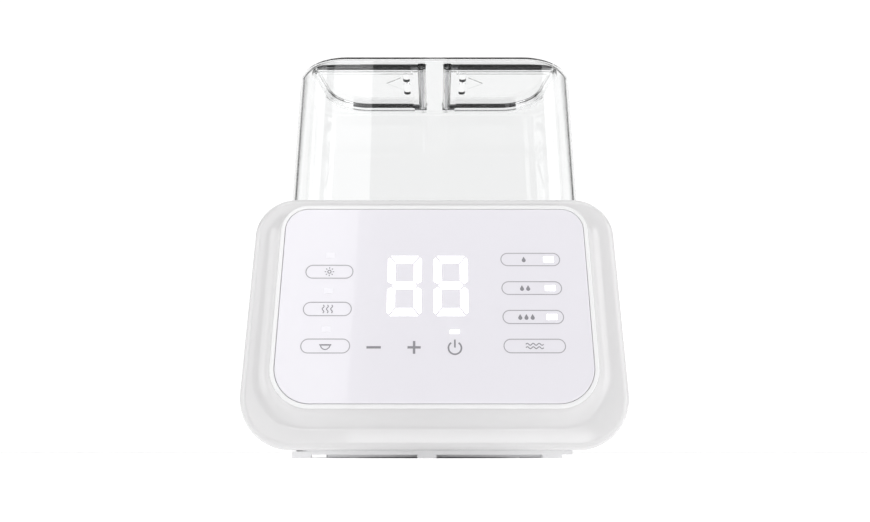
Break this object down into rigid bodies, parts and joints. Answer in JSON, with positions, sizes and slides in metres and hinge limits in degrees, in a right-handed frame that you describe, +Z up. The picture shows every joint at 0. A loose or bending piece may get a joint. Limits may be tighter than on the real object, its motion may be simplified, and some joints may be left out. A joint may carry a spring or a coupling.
{
  "type": "bottle sterilizer",
  "caption": "Countertop steam sterilizer and bottle warmer: white reclined base with a glass touch panel, heated tub, lift-out bottle rack and clear lift-off hood with hinged top lids.",
  "frame": {"origin": "middle of the footprint, on the surface that the feet stand on", "axes": "+Z up, +X to the right seen from the front, front panel faces -Y"},
  "size_m": [0.198, 0.1264, 0.236],
  "materials": {
    "white_plastic": "satin white ABS or PP",
    "panel_glass": "polished pale lilac-white panel, printed from behind",
    "clear_plastic": "clear polished copolyester",
    "steel": "zinc plated",
    "stainless": "spun stainless",
    "aluminium": "mill finish",
    "silicone": "matt pale grey silicone",
    "dark_plastic": "matt",
    "lamp_white": "clear over white",
    "circuit_board": "solder resist",
    "copper": "taped winding",
    "brass": "bright",
    "cable": "soft PVC"
  },
  "bodies": {
    "base": {"housing": "white_plastic", "control_panel": "panel_glass", "light_guide": "white_plastic", "digit_display": "dark_plastic", "indicator_leds": "lamp_white", "touch_springs": "steel", "display_board": "circuit_board", "display_board_screws": "steel", "tub": "white_plastic", "tub_gasket": "silicone", "tub_screws": "steel", "heating_plate": "stainless", "plate_seal": "silicone", "ptc_heater": "aluminium", "temperature_sensor": "dark_plastic", "heater_bracket": "steel", "bracket_screws": "steel", "thermostat": "dark_plastic", "thermal_fuse": "steel", "power_board": "circuit_board", "transformer": "copper", "relay": "dark_plastic", "capacitor": "dark_plastic", "buzzer": "dark_plastic", "power_board_screws": "steel", "mains_inlet": "dark_plastic", "inlet_pins": "brass", "mains_wires": "cable", "heater_wires": "cable", "display_cable": "cable", "bottom_cover": "white_plastic", "cover_screws": "steel", "rubber_feet": "silicone"},
    "hood": {"hood": "clear_plastic", "hinge_pins": "steel"},
    "lid_left": {"lid_left": "clear_plastic"},
    "lid_right": {"lid_right": "clear_plastic"},
    "rack": {"bottle_rack": "white_plastic"}
  },
  "joints": [
    {"name": "hood_lift", "type": "slide", "parent": "base", "child": "hood", "axis": [0, 0, 1], "range_m": [0, 0.1]},
    {"name": "lid_left_hinge", "type": "hinge", "parent": "hood", "child": "lid_left", "pos_m": [-0.008, 0, 0.2334], "axis": [0, 1, 0], "range_deg": [0, 90]},
    {"name": "lid_right_hinge", "type": "hinge", "parent": "hood", "child": "lid_right", "pos_m": [0.008, 0, 0.2334], "axis": [0, -1, 0], "range_deg": [0, 90]},
    {"name": "rack_lift", "type": "slide", "parent": "base", "child": "rack", "axis": [0, 0, 1], "range_m": [0, 0.11]}
  ]
}
